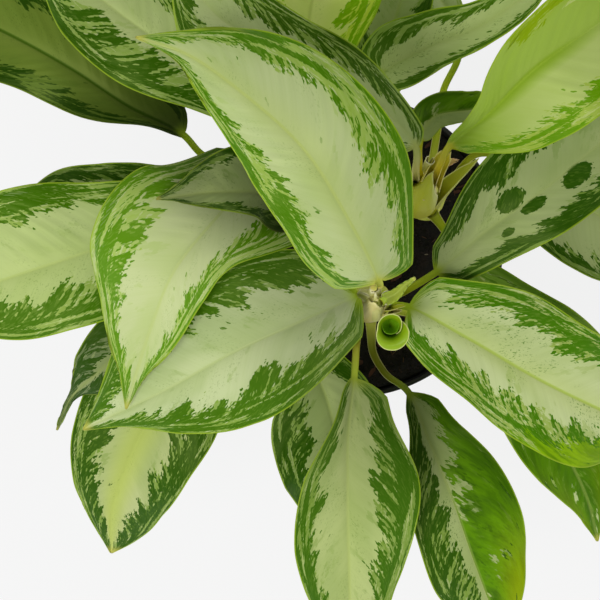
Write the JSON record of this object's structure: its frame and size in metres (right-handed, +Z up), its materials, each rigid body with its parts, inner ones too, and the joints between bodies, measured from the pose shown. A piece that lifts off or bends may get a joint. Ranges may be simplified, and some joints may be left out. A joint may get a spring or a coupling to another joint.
{
  "type": "potted chinese evergreen",
  "caption": "Potted foliage plant: broad waved leaves, silver with green margins, on short canes in a round nursery pot filled with dark potting mix.",
  "frame": {"origin": "centre of the pot's flat bottom, on the surface that it stands on", "axes": "+Z up out of the pot's mouth, +Y towards the top of a view from above, +X towards its right"},
  "size_m": [0.4228, 0.4406, 0.3961],
  "materials": {
    "pot_plastic": "near-black injection-moulded plastic, slightly satin, with faint scuffs",
    "potting_mix": "dark crumbly potting mix with bark chips",
    "cane_skin": "pale cream to olive plant stem with ring scars",
    "leaf": "smooth leaf with a soft gloss, pale silver-green centre, dark green streaked margins and a thin yellow-green edge",
    "young_leaf": "smooth bright yellow-green new leaf"
  },
  "bodies": {
    "root": {"pot": "pot_plastic", "soil": "potting_mix", "cane_a": "cane_skin", "cane_b": "cane_skin", "cane_c": "cane_skin", "cane_d": "cane_skin", "leaf_a1": "leaf", "leaf_a2": "leaf", "leaf_a3": "leaf", "leaf_a4": "leaf", "leaf_a5": "leaf", "leaf_a6": "leaf", "leaf_a7": "leaf", "leaf_a8": "leaf", "leaf_b6": "leaf", "leaf_b1": "leaf", "leaf_b2": "leaf", "leaf_b3": "leaf", "leaf_b4": "leaf", "leaf_b5": "leaf", "leaf_c1": "leaf", "leaf_c2": "leaf", "leaf_c3": "leaf", "leaf_c4": "leaf", "leaf_c5": "leaf", "leaf_c6": "leaf", "leaf_d1": "leaf", "leaf_d2": "leaf", "leaf_d3": "leaf", "leaf_d4": "leaf", "leaf_d5": "leaf", "young_leaf_a": "young_leaf", "rolled_leaf_a": "young_leaf"}
  },
  "joints": []
}
